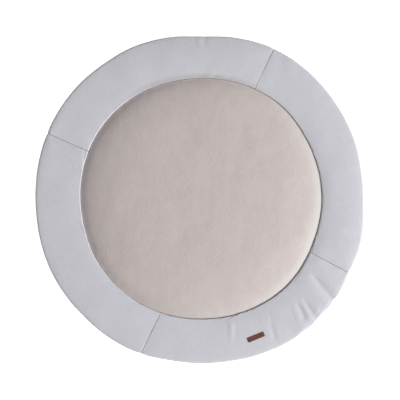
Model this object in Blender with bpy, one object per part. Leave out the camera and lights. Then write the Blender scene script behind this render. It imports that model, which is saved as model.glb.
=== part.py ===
"""Round baby play mat, lying flat.

A filled centre pad of pile cloth is sewn inside a filled ring. The ring's cover is cut as four curved
panels with seams across the ring between them, a plain back cloth closes the mat underneath and turns up
to the outer seam, and a small leather tag is sewn to the ring near its lower edge.

Metres and degrees, +Z up. The origin is on the floor under the middle of the mat, +X is the mat's right
and +Y its top as it is seen from above. Angles run counter-clockwise from +X.
"""

import math
from collections import namedtuple

import bmesh
import bpy
from mathutils import Vector

# Heights above the floor
PAD_CROWN = 0.0425
INNER_SEAM_HEIGHT = 0.0165
CLOTH_THICKNESS = 0.0016
GAP = 0.0003
UNDERSIDE = CLOTH_THICKNESS + GAP

# Seams across the ring: how deep and how far along the ring each draws the filling in
SEAM_DIP = 0.0022
SEAM_TUCK = 0.0012
SEAM_REACH = 0.007

# Leather tag
TAG_LENGTH = 0.048
TAG_WIDTH = 0.013
TAG_THICKNESS = 0.0016
TAG_ANGLE = -67.7
TAG_RADIUS = 0.403
TAG_CELLS = (12, 4)

# Columns around the mat: the pad's count, and distances from a seam of the ring's closest ones
PAD_COLUMNS = 120
SEAM_COLUMNS = (0.0, 0.004, 0.010, 0.018)
SHARP_ANGLE = 40

# Mat's outline: (angle, radius)
OUTLINE = (
    (0, 0.4485), (9, 0.4495), (20, 0.4540), (28, 0.4555), (37, 0.4570), (46, 0.4590), (55, 0.4605),
    (65, 0.4610), (71, 0.4580), (78, 0.4545), (84, 0.4498), (91, 0.4475), (99, 0.4520), (107, 0.4550),
    (115, 0.4567), (124, 0.4552), (138, 0.4565), (151, 0.4555), (159, 0.4540), (169, 0.4512), (184, 0.4480),
    (203, 0.4505), (215, 0.4500), (225, 0.4488), (238, 0.4510), (249, 0.4505), (261, 0.4462), (272, 0.4477),
    (281, 0.4490), (289, 0.4530), (301, 0.4577), (309, 0.4587), (320, 0.4590), (328, 0.4590), (334, 0.4552),
    (342, 0.4567), (347, 0.4560), (354, 0.4508),
)

# Seam between pad and ring: (angle, radius)
INNER_SEAM = (
    (0, 0.3335), (30, 0.3350), (50, 0.3390), (75, 0.3345), (95, 0.3310), (120, 0.3335), (145, 0.3330),
    (165, 0.3285), (190, 0.3235), (215, 0.3260), (240, 0.3255), (270, 0.3245), (290, 0.3280),
    (315, 0.3335), (340, 0.3315),
)

# Ring's own unevenness: (angle, height of its crown, how far the crown leans outward as a share of the width,
# how round its inner half is, how far its outer half falls)
RING_CROWN = (
    (0, 0.0275, 0.02, 1.00, 0.06), (45, 0.0270, 0.00, 0.70, 0.00), (90, 0.0260, -0.06, 0.60, 0.30),
    (135, 0.0250, -0.02, 0.35, 0.00), (180, 0.0250, 0.01, 0.25, 0.00), (225, 0.0250, 0.00, 0.35, 0.04),
    (270, 0.0260, 0.02, 0.50, 0.00), (315, 0.0275, 0.03, 0.85, 0.00),
)

# Top of the ring's section: (share of the width from the inner seam, share of the height)
RING_TOP = (
    (0.000, 0.60), (0.004, 0.72), (0.012, 0.80), (0.040, 0.865), (0.090, 0.91), (0.150, 0.943),
    (0.240, 0.968), (0.380, 0.99), (0.530, 1.00), (0.680, 0.997), (0.800, 0.99), (0.890, 0.978),
    (0.950, 0.950), (0.982, 0.875), (0.997, 0.69),
)

# Ring's flank at the inner seam, the end of its inner half, and the height where its outer fall ends, as shares
FLANK_WIDTH = 0.012
INNER_HALF = (0.35, 0.70)
OUTER_JOIN = 0.30

# Underside of the ring's section, from the outer seam inward, with the same two shares
RING_UNDERSIDE = ((0.985, 0.30), (0.950, 0.12), (0.880, 0.02), (0.780, 0.00))

# Top of the pad: (share of the radius, share of the height above the seam)
PAD_TOP = (
    (0.12, 1.00), (0.38, 0.985), (0.58, 0.923), (0.72, 0.838), (0.82, 0.72), (0.89, 0.58), (0.94, 0.425),
    (0.970, 0.285), (0.988, 0.165), (0.996, 0.09), (1.00, 0.00),
)

# Seams across the ring: (name, angle at the inner seam, angle at the outline)
SEAMS = {
    "upper_right": (63.5, 63.9),
    "upper_left": (156.5, 156.4),
    "lower_left": (250.9, 249.0),
    "lower_right": (334.6, 333.9),
}

# Ring panels: (name, seam where it starts, seam where it ends, degrees between columns)
PANELS = (
    ("ring_panel_right", "lower_right", "upper_right", 3.0),
    ("ring_panel_top", "upper_right", "upper_left", 3.0),
    ("ring_panel_left", "upper_left", "lower_left", 3.0),
    ("ring_panel_bottom", "lower_left", "lower_right", 1.1),
)

# Creases in the ring: (name, inner angle, inner radius, outer angle, outer radius, half width, height)
FOLDS = (
    ("long trough", -32.3, 0.357, -37.1, 0.454, 0.010, -0.0023),
    ("short trough", -46.8, 0.396, -48.4, 0.431, 0.008, -0.0017),
    ("ridge between", -44.8, 0.389, -46.9, 0.436, 0.005, 0.0006),
    ("notch trough", -42.8, 0.396, -45.6, 0.458, 0.006, -0.0014),
    ("trough by the tag", -60.2, 0.391, -61.2, 0.431, 0.007, -0.0010),
    ("soft ridge", -76.3, 0.340, -77.5, 0.393, 0.012, 0.0006),
    ("corner trough", -11.9, 0.405, -13.0, 0.455, 0.008, -0.0012),
    ("dent at the top", 88.0, 0.428, 88.4, 0.450, 0.007, -0.0008),
)

# Colours (linear), roughness
FINISHES = {
    "pile": ((0.52, 0.46, 0.435), 0.95),
    "woven": ((0.55, 0.55, 0.60), 0.85),
    "leather": ((0.195, 0.055, 0.036), 0.55),
}

Column = namedtuple("Column", "inner outer crown lean roundness fall pull")


def read_rows(rows, x, column=1, period=None):
    """Smooth curve through one column of a table, read at x; it repeats if it has a period."""
    points = [(row[0], row[column]) for row in rows]
    if period:
        x = x % period
        before = [(px - period, value) for px, value in points[-2:]]
        after = [(px + period, value) for px, value in points[:3]]
        points = before + points + after
    else:
        x = min(max(x, points[0][0]), points[-1][0])
    i = max(k for k in range(len(points) - 1) if points[k][0] <= x or k == 0)
    (x0, v0), (x1, v1) = points[i], points[i + 1]
    left = points[i - 1] if i > 0 else points[i]
    right = points[i + 2] if i + 2 < len(points) else points[i + 1]
    step = x1 - x0
    slope0 = (v1 - left[1]) / (x1 - left[0]) * step
    slope1 = (right[1] - v0) / (right[0] - x0) * step
    t = (x - x0) / step
    return (
        v0 * (1 + 2 * t) * (1 - t) ** 2
        + slope0 * t * (1 - t) ** 2
        + v1 * t * t * (3 - 2 * t)
        - slope1 * t * t * (1 - t)
    )


def polar(degrees, radius, height=0.0):
    """Point from an angle, a distance from the middle and a height."""
    angle = math.radians(degrees)
    return Vector((radius * math.cos(angle), radius * math.sin(angle), height))


def ring_column(inner_angle, outer_angle, pull=0.0, shift=0.0):
    """Upright plane across the ring, from the inner seam to the outline, and what shapes the section there."""
    inner = polar(inner_angle, read_rows(INNER_SEAM, inner_angle, period=360))
    outer = polar(outer_angle, read_rows(OUTLINE, outer_angle, period=360) - SEAM_TUCK * pull)
    way = (outer - inner).normalized()
    side = Vector((-way.y, way.x, 0)) * shift
    crown, lean, roundness, fall = (read_rows(RING_CROWN, outer_angle, column, 360) for column in (1, 2, 3, 4))
    return Column(inner + way * GAP / 2 + side, outer + side, crown, lean, roundness, fall, pull)


def panel_columns(start, end, step):
    """A ring panel's columns from seam to seam, close together at both, clear of each by half the gap."""
    (inner_start, outer_start), (inner_end, outer_end) = SEAMS[start], SEAMS[end]
    inner_sweep = (inner_end - inner_start) % 360
    outer_sweep = (outer_end - outer_start) % 360
    length = math.radians(outer_sweep) * read_rows(OUTLINE, outer_start, period=360)
    ends = [distance / length for distance in SEAM_COLUMNS]
    inside = round(outer_sweep / step)
    middle = [ends[-1] + (1 - 2 * ends[-1]) * k / inside for k in range(1, inside)]
    columns = []
    for share in ends + middle + [1 - share for share in reversed(ends)]:
        pull = math.exp(-min(share, 1 - share) * length / SEAM_REACH)
        shift = GAP / 2 * (1 - 2 * share)
        inner_angle, outer_angle = inner_start + inner_sweep * share, outer_start + outer_sweep * share
        columns.append(ring_column(inner_angle, outer_angle, pull, shift))
    return columns


def ease(x):
    """Smooth step from 0 at 0 to 1 at 1."""
    x = min(max(x, 0), 1)
    return x * x * (3 - 2 * x)


def shaped_rise(column, across, rise):
    """Share of the ring's height, with its inner half made flatter and its outer half let fall."""
    half_start, half_end = INNER_HALF
    inner = ease(across / FLANK_WIDTH) * ease((half_end - across) / (half_end - half_start))
    fall = column.fall * max(2 * across - 1, 0) ** 2 * max(rise - OUTER_JOIN, 0) / (1 - OUTER_JOIN)
    return 1 - (1 - rise) * (1 - (1 - column.roundness) * inner) - fall


def top_point(column, across, rise):
    """Point of the ring's top before its creases: the crown leans, and the seams across it dip."""
    leaned = across + column.lean * 4 * across * (1 - across)
    rise = shaped_rise(column, across, rise)
    raised = (rise - RING_TOP[0][1]) / (1 - RING_TOP[0][1])
    height = UNDERSIDE + (column.crown - UNDERSIDE) * rise - SEAM_DIP * column.pull * max(raised, 0)
    return column.inner.lerp(column.outer, leaned) + Vector((0, 0, height))


def under_point(column, across, rise):
    """Point of the ring's underside."""
    height = UNDERSIDE + (column.crown - UNDERSIDE) * rise
    return column.inner.lerp(column.outer, across) + Vector((0, 0, height))


def fold_height(point):
    """Height of the creases at a point seen from above."""
    height = 0.0
    flat = Vector((point.x, point.y, 0))
    for _, inner_angle, inner_radius, outer_angle, outer_radius, half_width, depth in FOLDS:
        start = polar(inner_angle, inner_radius)
        run = polar(outer_angle, outer_radius) - start
        share = min(max((flat - start).dot(run) / run.length_squared, 0), 1)
        distance = (flat - start - run * share).length
        height += depth * math.exp(-((distance / half_width) ** 2))
    return height


def section_normal(column, points, i):
    """Normal on the left of a section's path at one of its points, in the column's plane."""
    way = (column.outer - column.inner).normalized()
    step = points[min(i + 1, len(points) - 1)] - points[max(i - 1, 0)]
    return (Vector((0, 0, step.dot(way))) - way * step.z).normalized()


def ring_section(column):
    """Closed section of a ring panel: over the top with its creases, then back along the underside."""
    top = [top_point(column, across, rise) for across, rise in RING_TOP]
    creased = [top[0]]
    for i in range(1, len(top)):
        creased.append(top[i] + section_normal(column, top, i) * fold_height(top[i]))
    return creased + [under_point(column, *row) for row in RING_UNDERSIDE] + [under_point(column, 0, 0)]


def back_section(column):
    """Back cloth's turned-up edge: out along its inner side, then back along its outer side."""
    path = [under_point(column, *row) for row in reversed(RING_UNDERSIDE)]
    ups = [Vector((0, 0, 1))] + [section_normal(column, path, i) for i in range(1, len(path))]
    inner = [point - up * GAP for point, up in zip(path, ups)]
    outer = [point - up * UNDERSIDE for point, up in zip(path, ups)]
    return inner + outer[::-1]


def loft(name, loops, finish):
    """One closed solid through loops of equally many points, with a flat face over each end."""
    mesh = bpy.data.meshes.new(name)
    solid = bmesh.new()
    rows = [[solid.verts.new(point) for point in loop] for loop in loops]
    count = len(rows[0])
    for row, following in zip(rows, rows[1:]):
        for i in range(count):
            j = (i + 1) % count
            solid.faces.new((row[i], row[j], following[j], following[i]))
    solid.faces.new(reversed(rows[0]))
    solid.faces.new(rows[-1])
    bmesh.ops.triangulate(solid, faces=[face for face in solid.faces if len(face.verts) > 4])
    bmesh.ops.recalc_face_normals(solid, faces=solid.faces)
    solid.to_mesh(mesh)
    solid.free()
    part = bpy.data.objects.new(name, mesh)
    bpy.context.collection.objects.link(part)
    mesh.materials.append(make_material(name, *finish))
    mesh.shade_smooth()
    mesh.set_sharp_from_angle(angle=math.radians(SHARP_ANGLE))


def make_material(name, colour, roughness):
    """Cloth or leather material with one colour."""
    material = bpy.data.materials.new(name)
    material.use_nodes = True
    shader = material.node_tree.nodes["Principled BSDF"]
    shader.inputs["Base Color"].default_value = (*colour, 1)
    shader.inputs["Roughness"].default_value = roughness
    shader.inputs["Metallic"].default_value = 0
    return material


def build_ring_panels():
    """Four filled panels of the ring, each lofted from seam to seam."""
    for name, start, end, step in PANELS:
        loops = [ring_section(column) for column in panel_columns(start, end, step)]
        loft(name, loops, FINISHES["woven"])


def build_centre_pad():
    """Filled pad: rings of points from its crown out to the seam, then down to the flat underside."""
    angles = [360 * k / PAD_COLUMNS for k in range(PAD_COLUMNS)]
    edge = [read_rows(INNER_SEAM, angle, period=360) - GAP / 2 for angle in angles]
    rings = []
    for share, rise in PAD_TOP:
        height = INNER_SEAM_HEIGHT + (PAD_CROWN - INNER_SEAM_HEIGHT) * rise
        rings.append([polar(angle, radius * share, height) for angle, radius in zip(angles, edge)])
    rings.append([polar(angle, radius, UNDERSIDE) for angle, radius in zip(angles, edge)])
    loft("centre_pad", rings, FINISHES["pile"])


def build_back_cloth():
    """Back cloth: flat underneath, its edge turned up along the ring to the outer seam."""
    sections = []
    for _, start, end, step in PANELS:
        sections += [back_section(column) for column in panel_columns(start, end, step)[:-1]]
    loft("back_cloth", list(zip(*sections)), FINISHES["woven"])


def ring_surface_height(x, y):
    """Height of the ring's top over a point seen from above, away from the seams across it."""
    degrees = math.degrees(math.atan2(y, x))
    column = ring_column(degrees, degrees)
    spot = Vector((x, y, 0))
    leaned = (spot - column.inner).length / (column.outer - column.inner).length
    across = leaned - column.lean * 4 * leaned * (1 - leaned)
    return top_point(column, across, read_rows(RING_TOP, across)).z + fold_height(spot)


def build_tag():
    """Leather tag, lying on the ring's curve along the mat's edge."""
    across_cells, up_cells = TAG_CELLS
    middle = polar(TAG_ANGLE, TAG_RADIUS, 0)
    outer_way = middle.normalized()
    length_way = Vector((-outer_way.y, outer_way.x, 0))
    loops = []
    for i in range(across_cells + 1):
        offset = length_way * TAG_LENGTH * (i / across_cells - 0.5)
        low, high = [], []
        for j in range(up_cells + 1):
            spot = middle + offset + outer_way * TAG_WIDTH * (j / up_cells - 0.5)
            height = ring_surface_height(spot.x, spot.y) + GAP
            low.append(Vector((spot.x, spot.y, height)))
            high.append(Vector((spot.x, spot.y, height + TAG_THICKNESS)))
        loops.append(low + high[::-1])
    loft("tag", loops, FINISHES["leather"])


def main():
    """Clear the scene and build every piece of the mat."""
    for old in list(bpy.data.objects):
        bpy.data.objects.remove(old, do_unlink=True)
    build_ring_panels()
    build_centre_pad()
    build_back_cloth()
    build_tag()


main()
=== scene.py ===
"""Looks of the round baby play mat: its filled pieces, cloths, leather tag, finishes and studio.

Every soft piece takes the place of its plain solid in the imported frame, with the same seams, sections and
creases in a finer form. Metres and degrees, +Z up, angles counter-clockwise from the mat's right.
"""

import logging
import math
from collections.abc import Callable, Sequence
from dataclasses import dataclass, field
from enum import Enum

import bpy
import numpy as np
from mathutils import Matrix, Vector, noise
from mathutils.bvhtree import BVHTree


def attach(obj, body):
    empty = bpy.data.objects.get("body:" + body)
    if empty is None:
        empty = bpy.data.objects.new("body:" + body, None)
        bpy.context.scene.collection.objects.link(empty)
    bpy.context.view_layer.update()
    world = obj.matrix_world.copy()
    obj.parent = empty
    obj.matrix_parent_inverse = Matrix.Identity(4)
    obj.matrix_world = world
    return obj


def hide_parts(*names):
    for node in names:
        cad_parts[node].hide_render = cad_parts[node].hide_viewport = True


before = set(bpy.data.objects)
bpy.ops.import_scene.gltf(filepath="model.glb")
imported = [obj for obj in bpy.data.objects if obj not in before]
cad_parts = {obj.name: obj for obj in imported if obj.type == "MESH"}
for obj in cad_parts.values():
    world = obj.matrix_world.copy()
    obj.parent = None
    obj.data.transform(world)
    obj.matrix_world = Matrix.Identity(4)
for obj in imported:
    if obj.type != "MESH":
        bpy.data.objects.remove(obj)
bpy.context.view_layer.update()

LOG = logging.getLogger("play_mat")
Array = np.ndarray


class Slot(Enum):
    """Names of the material slots."""

    PAD = "pad_pile"
    RING = "ring_cotton"
    BACK = "back_cotton"
    TAG = "tag_leather"


class Held(Enum):
    """How a sheet of cloth lies."""

    LAID = "laid"
    STRETCHED = "stretched"


# Heights above the floor
CLOTH_THICKNESS = 0.0016
GAP = 0.0003
UNDERSIDE = CLOTH_THICKNESS + GAP
PAD_CROWN = 0.0425
INNER_SEAM_HEIGHT = 0.0165
OUTER_JOIN = 0.30

# Mat's outline: (angle, radius)
OUTLINE = (
    (0, 0.4485), (9, 0.4495), (20, 0.4540), (28, 0.4555), (37, 0.4570), (46, 0.4590), (55, 0.4605),
    (65, 0.4610), (71, 0.4580), (78, 0.4545), (84, 0.4498), (91, 0.4475), (99, 0.4520), (107, 0.4550),
    (115, 0.4567), (124, 0.4552), (138, 0.4565), (151, 0.4555), (159, 0.4540), (169, 0.4512), (184, 0.4480),
    (203, 0.4505), (215, 0.4500), (225, 0.4488), (238, 0.4510), (249, 0.4505), (261, 0.4462), (272, 0.4477),
    (281, 0.4490), (289, 0.4530), (301, 0.4577), (309, 0.4587), (320, 0.4590), (328, 0.4590), (334, 0.4552),
    (342, 0.4567), (347, 0.4560), (354, 0.4508),
)

# Seam between pad and ring: (angle, radius)
INNER_SEAM = (
    (0, 0.3335), (30, 0.3350), (50, 0.3390), (75, 0.3345), (95, 0.3310), (120, 0.3335), (145, 0.3330),
    (165, 0.3285), (190, 0.3235), (215, 0.3260), (240, 0.3255), (270, 0.3245), (290, 0.3280),
    (315, 0.3335), (340, 0.3315),
)

# Ring's own unevenness: (angle, height of its crown, how far the crown leans outward as a share of the width,
# how round its inner half is, how far its outer half falls)
RING_CROWN = (
    (0, 0.0275, 0.02, 1.00, 0.06), (45, 0.0270, 0.00, 0.70, 0.00), (90, 0.0260, -0.06, 0.60, 0.30),
    (135, 0.0250, -0.02, 0.35, -0.05), (180, 0.0250, 0.01, 0.25, -0.11), (225, 0.0250, 0.00, 0.35, -0.01),
    (270, 0.0260, 0.02, 0.50, 0.00), (315, 0.0275, 0.03, 0.85, 0.00),
)

# Top of the ring's section: (share of the width from the inner seam, share of the height)
RING_TOP = (
    (0.000, 0.745), (0.004, 0.785), (0.012, 0.825), (0.040, 0.872), (0.090, 0.91), (0.150, 0.943),
    (0.240, 0.968), (0.380, 0.99), (0.530, 1.00), (0.680, 0.997), (0.800, 0.99), (0.890, 0.978),
    (0.950, 0.950), (0.982, 0.875), (0.997, 0.69), (0.985, 0.30),
)

# Underside of the ring's section, from the outer seam inward, with the same two shares
RING_UNDERSIDE = ((0.985, 0.30), (0.950, 0.12), (0.880, 0.02), (0.780, 0.00))

# Seams across the ring: (angle at the outline, dip at the inner seam, dip at the outline)
CROSS_SEAMS = ((63.9, 0.0001, 0.0006), (156.4, 0.0002, 0.0003), (249.0, 0.0006, 0.0007), (333.9, 0.0009, 0.0008))

# Top of the pad: (share of the radius, share of the height above the seam)
PAD_TOP = (
    (0.00, 1.00), (0.12, 1.00), (0.38, 0.985), (0.58, 0.923), (0.72, 0.838), (0.82, 0.72), (0.89, 0.58),
    (0.94, 0.425), (0.970, 0.285), (0.988, 0.182), (0.996, 0.148), (1.00, 0.115),
)


class RowCurve:
    """Smooth curve through rows of (place, value); with a period it closes on itself."""

    def __init__(self, places: Sequence[float], values: Sequence[float], period: float = 0.0) -> None:
        """Keep the rows and the slope at each of them.

        Args:
            places: where each row stands, rising.
            values: value of each row.
            period: length after which the curve repeats, or 0.
        """
        x, v = np.asarray(places, float), np.asarray(values, float)
        if period:
            x = np.concatenate([x[-2:] - period, x, x[:3] + period])
            v = np.concatenate([v[-2:], v, v[:3]])
        self.x, self.v, self.period = x, v, period
        self.slope = np.gradient(v, x)
        self.slope[1:-1] = (v[2:] - v[:-2]) / (x[2:] - x[:-2])

    def __call__(self, at: Array) -> Array:
        """Read the curve.

        Args:
            at: places to read.

        Returns:
            The value at each place.
        """
        at = np.asarray(at, float)
        at = at % self.period if self.period else np.clip(at, self.x[0], self.x[-1])
        i = np.clip(np.searchsorted(self.x, at, side="right") - 1, 0, len(self.x) - 2)
        step = self.x[i + 1] - self.x[i]
        t = (at - self.x[i]) / step
        rise = self.v[i] * (1 + 2 * t) * (1 - t) ** 2 + self.v[i + 1] * t * t * (3 - 2 * t)
        return rise + step * (self.slope[i] * t * (1 - t) ** 2 - self.slope[i + 1] * t * t * (1 - t))


def round_curve(rows: Sequence[Sequence[float]], column: int = 1) -> RowCurve:
    """Curve round the mat through one column of a table of angles."""
    return RowCurve([row[0] for row in rows], [row[column] for row in rows], 360.0)


def path_points(rows: Sequence[Sequence[float]], places: Array) -> tuple[Array, Array]:
    """Points along the smooth path through a table's rows.

    Args:
        rows: the path's (across, rise) rows in order.
        places: places to read, counted in rows.

    Returns:
        The across and the rise of each place.
    """
    index = range(len(rows))
    across = RowCurve(index, [row[0] for row in rows])(places)
    rise = RowCurve(index, [row[1] for row in rows])(places)
    return across, rise


OUTLINE_AT = round_curve(OUTLINE)
INNER_SEAM_AT = round_curve(INNER_SEAM)
CROWN_AT = round_curve(RING_CROWN)
LEAN_AT = round_curve(RING_CROWN, 2)
ROUNDNESS_AT = round_curve(RING_CROWN, 3)
FALL_AT = round_curve(RING_CROWN, 4)


def rise_to(x: Array, low: float, high: float) -> Array:
    """Smooth step from 0 at low to 1 at high."""
    t = np.clip((x - low) / (high - low), 0, 1)
    return t * t * (3 - 2 * t)


def noise_at(points: Array, size: float, seed: float = 0.0) -> Array:
    """Smooth noise from about -1 to 1.

    Args:
        points: array of (..., 2) or (..., 3) places.
        size: width of one lump, in the places' unit.
        seed: another number gives another noise.

    Returns:
        One value for each place.
    """
    flat = points.reshape(-1, points.shape[-1]) / size
    if flat.shape[1] == 2:
        values = [noise.noise((x, y, seed)) for x, y in flat]
    else:
        values = [noise.noise((x + seed, y - seed, z + 2 * seed)) for x, y, z in flat]
    return np.array(values).reshape(points.shape[:-1])


@dataclass(frozen=True)
class Fold:
    """Crease in the ring's cloth, from its inner end to its outer end."""

    name: str
    inner_angle: float
    inner_radius: float
    outer_angle: float
    outer_radius: float
    half_width: float
    height: float
    bend: float = 0.0
    runs_out: bool = False

    def height_at(self, xy: Array) -> Array:
        """Height that the crease adds: its line, with the cloth pushed up a little beside it.

        Args:
            xy: places seen from above.

        Returns:
            Height at each place.
        """
        start, end = (
            np.array([radius * math.cos(math.radians(angle)), radius * math.sin(math.radians(angle))])
            for angle, radius in ((self.inner_angle, self.inner_radius), (self.outer_angle, self.outer_radius))
        )
        run = end - start
        length = float(np.hypot(*run))
        along = (xy - start) @ run / length ** 2
        side = (xy - start) @ np.array([-run[1], run[0]]) / length
        side = side - self.bend * 4 * along * (1 - along)
        away = np.abs(side) / self.half_width
        line = np.exp(-away ** 2) - 0.32 * np.exp(-((away - 2.1) / 0.9) ** 2)
        fade = rise_to(along, -0.08, 0.35)
        if not self.runs_out:
            fade = fade * rise_to(along, 1.08, 0.7)
        return self.height * line * fade


FOLDS = (
    Fold("long trough", -32.3, 0.350, -37.0, 0.462, 0.0100, -0.0023, -0.002, True),
    Fold("long trough's outer end", -36.0, 0.425, -37.0, 0.462, 0.0035, -0.0010, 0.0, True),
    Fold("short trough", -46.6, 0.386, -49.3, 0.438, 0.0080, -0.0017, 0.002),
    Fold("ridge between", -45.0, 0.385, -47.0, 0.440, 0.0050, 0.0006),
    Fold("notch trough", -43.2, 0.386, -45.8, 0.462, 0.0060, -0.0014, -0.001, True),
    Fold("trough by the tag", -60.5, 0.386, -61.8, 0.434, 0.0070, -0.0008, 0.001),
    Fold("soft ridge", -76.0, 0.334, -77.6, 0.398, 0.0065, 0.0008, 0.003),
    Fold("soft ridge beside it", -73.6, 0.330, -75.3, 0.392, 0.0065, -0.0002, 0.003),
    Fold("corner trough", -11.7, 0.396, -13.1, 0.460, 0.0080, -0.0012, 0.0, True),
    Fold("dent at the top", 87.9, 0.418, 88.4, 0.455, 0.0070, -0.0008, 0.0, True),
    Fold("dent beside it", 92.0, 0.420, 91.4, 0.446, 0.0060, -0.0004),
)


def fold_height(xy: Array) -> Array:
    """Height of all the ring's creases at places seen from above."""
    return sum(fold.height_at(xy) for fold in FOLDS)


def grid_faces(rows: int, columns: int, closed_rows: bool, closed_columns: bool, start: int = 0) -> list:
    """Four-sided faces over a grid of points that is stored row by row.

    Args:
        rows: number of rows.
        columns: number of points in a row.
        closed_rows: the last row joins the first.
        closed_columns: the last point of a row joins its first.
        start: index of the first point.

    Returns:
        Index tuples, turned the same way.
    """
    faces = []
    for r in range(rows if closed_rows else rows - 1):
        for c in range(columns if closed_columns else columns - 1):
            r2, c2 = (r + 1) % rows, (c + 1) % columns
            faces.append((start + r * columns + c, start + r * columns + c2,
                          start + r2 * columns + c2, start + r2 * columns + c))
    return faces


def mark_points(piece: bpy.types.Object, name: str, values: Array) -> None:
    """Store a share for each point of a piece, for its finish.

    Args:
        piece: the piece.
        name: attribute name, read by the finish.
        values: one share for each point, 0 to 1.
    """
    layer = piece.data.attributes.new(name, "FLOAT", "POINT")
    layer.data.foreach_set("value", values.astype(np.float32).ravel())


def new_piece(name: str, points: Array, faces: list, uv: Array | None = None) -> bpy.types.Object:
    """Closed smooth mesh object with its place in its mesh.

    Args:
        name: piece name.
        points: (N, 3) places.
        faces: index tuples, in any consistent turn.
        uv: (N, 2) flat cloth places in metres, or None.

    Returns:
        The new object, its faces pointing out.
    """
    mesh = bpy.data.meshes.new(name)
    mesh.from_pydata(points.reshape(-1, 3).tolist(), [], faces)
    mesh.update()
    if uv is not None:
        loops = np.empty(len(mesh.loops), dtype=np.int32)
        mesh.loops.foreach_get("vertex_index", loops)
        layer = mesh.uv_layers.new(name="cloth")
        layer.data.foreach_set("uv", uv.reshape(-1, 2)[loops].astype(np.float32).ravel())
    piece = bpy.data.objects.new(name, mesh)
    bpy.context.scene.collection.objects.link(piece)
    bpy.ops.object.select_all(action="DESELECT")
    bpy.context.view_layer.objects.active = piece
    piece.select_set(True)
    bpy.ops.object.mode_set(mode="EDIT")
    bpy.ops.mesh.select_all(action="SELECT")
    bpy.ops.mesh.normals_make_consistent(inside=False)
    bpy.ops.object.mode_set(mode="OBJECT")
    bpy.ops.object.shade_smooth()
    return piece


def blur(values: Array, cells: float) -> Array:
    """Average values over their neighbours in both directions of a grid.

    Args:
        values: (rows, columns, parts) array.
        cells: reach of the average, in cells.

    Returns:
        An array of the same shape.
    """
    reach = int(3 * cells)
    weight = np.exp(-0.5 * (np.arange(-reach, reach + 1) / cells) ** 2)
    weight /= weight.sum()
    for axis in (0, 1):
        padded = np.concatenate([np.repeat(values.take([0], axis), reach, axis), values,
                                 np.repeat(values.take([-1], axis), reach, axis)], axis=axis)
        length = values.shape[axis]
        values = sum(w * padded.take(range(k, k + length), axis) for k, w in enumerate(weight))
    return values


def subdivide(piece: bpy.types.Object, levels: int = 1) -> None:
    """Apply a Subdivision Surface to a piece."""
    bpy.context.view_layer.objects.active = piece
    modifier = piece.modifiers.new("Subdivision", "SUBSURF")
    modifier.levels = modifier.render_levels = levels
    modifier.boundary_smooth = "PRESERVE_CORNERS"
    bpy.ops.object.modifier_apply(modifier=modifier.name)


@dataclass(frozen=True)
class Puff:
    """Cloth simulation that swells a pinned cover over its filling."""

    pressure: float = 4.0
    frames: int = 20
    cap: float = 0.003
    swell: float = 0.08
    wrinkles: float = 0.8
    spare_cloth: float = 0.03
    bending: float = 0.3
    stiffness: float = 20.0

    def settle(self, piece: bpy.types.Object, held: Array, spare: Array,
               broad: Callable[[Array], Array] | None = None) -> None:
        """Swell the piece, and write the result into its mesh.

        Args:
            piece: closed cover, filled from within.
            held: for each point, 1 where the cover is sewn or rests, 0 where it is free.
            spare: for each point, 1 where the cover has spare cloth to gather, 0 where it has none.
            broad: gives the broad part of the movement, of which only the share swell is kept.
        """
        mesh = piece.data
        start = np.empty(len(mesh.vertices) * 3)
        mesh.vertices.foreach_get("co", start)
        for group_name, weights in (("held", held), ("spare", spare)):
            group = piece.vertex_groups.new(name=group_name)
            for index, weight in enumerate(weights):
                if weight > 0.001:
                    group.add([index], float(weight), "REPLACE")
        cloth = piece.modifiers.new("Cloth", "CLOTH")
        settings = cloth.settings
        settings.quality = 5
        settings.mass = 0.3
        settings.tension_stiffness = settings.compression_stiffness = self.stiffness
        settings.shear_stiffness = self.stiffness / 2
        settings.bending_stiffness = self.bending
        settings.use_pressure = True
        settings.uniform_pressure_force = self.pressure
        settings.vertex_group_mass = "held"
        settings.pin_stiffness = 50
        settings.vertex_group_shrink = "spare"
        settings.shrink_min = 0.0
        settings.shrink_max = -self.spare_cloth
        settings.effector_weights.gravity = 0
        cloth.collision_settings.use_collision = False
        cloth.point_cache.frame_start = 1
        cloth.point_cache.frame_end = self.frames
        for frame_number in range(1, self.frames + 1):
            bpy.context.scene.frame_set(frame_number)
        settled = piece.evaluated_get(bpy.context.evaluated_depsgraph_get()).data
        moved = np.empty(len(mesh.vertices) * 3)
        settled.vertices.foreach_get("co", moved)
        shift = (moved - start).reshape(-1, 3)
        if broad is not None:
            swollen = broad(shift)
            shift = swollen * self.swell + (shift - swollen) * self.wrinkles
        length = np.linalg.norm(shift, axis=1, keepdims=True)
        shift = shift * (self.cap * np.tanh(length / self.cap) / np.maximum(length, 1e-9))
        piece.modifiers.remove(cloth)
        mesh.vertices.foreach_set("co", start + shift.ravel())
        mesh.update()
        piece.vertex_groups.clear()
        bpy.context.scene.frame_set(1)
        LOG.info("%s settled, moved %.1f mm at most", piece.name, 1000 * float(length.max()))


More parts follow.
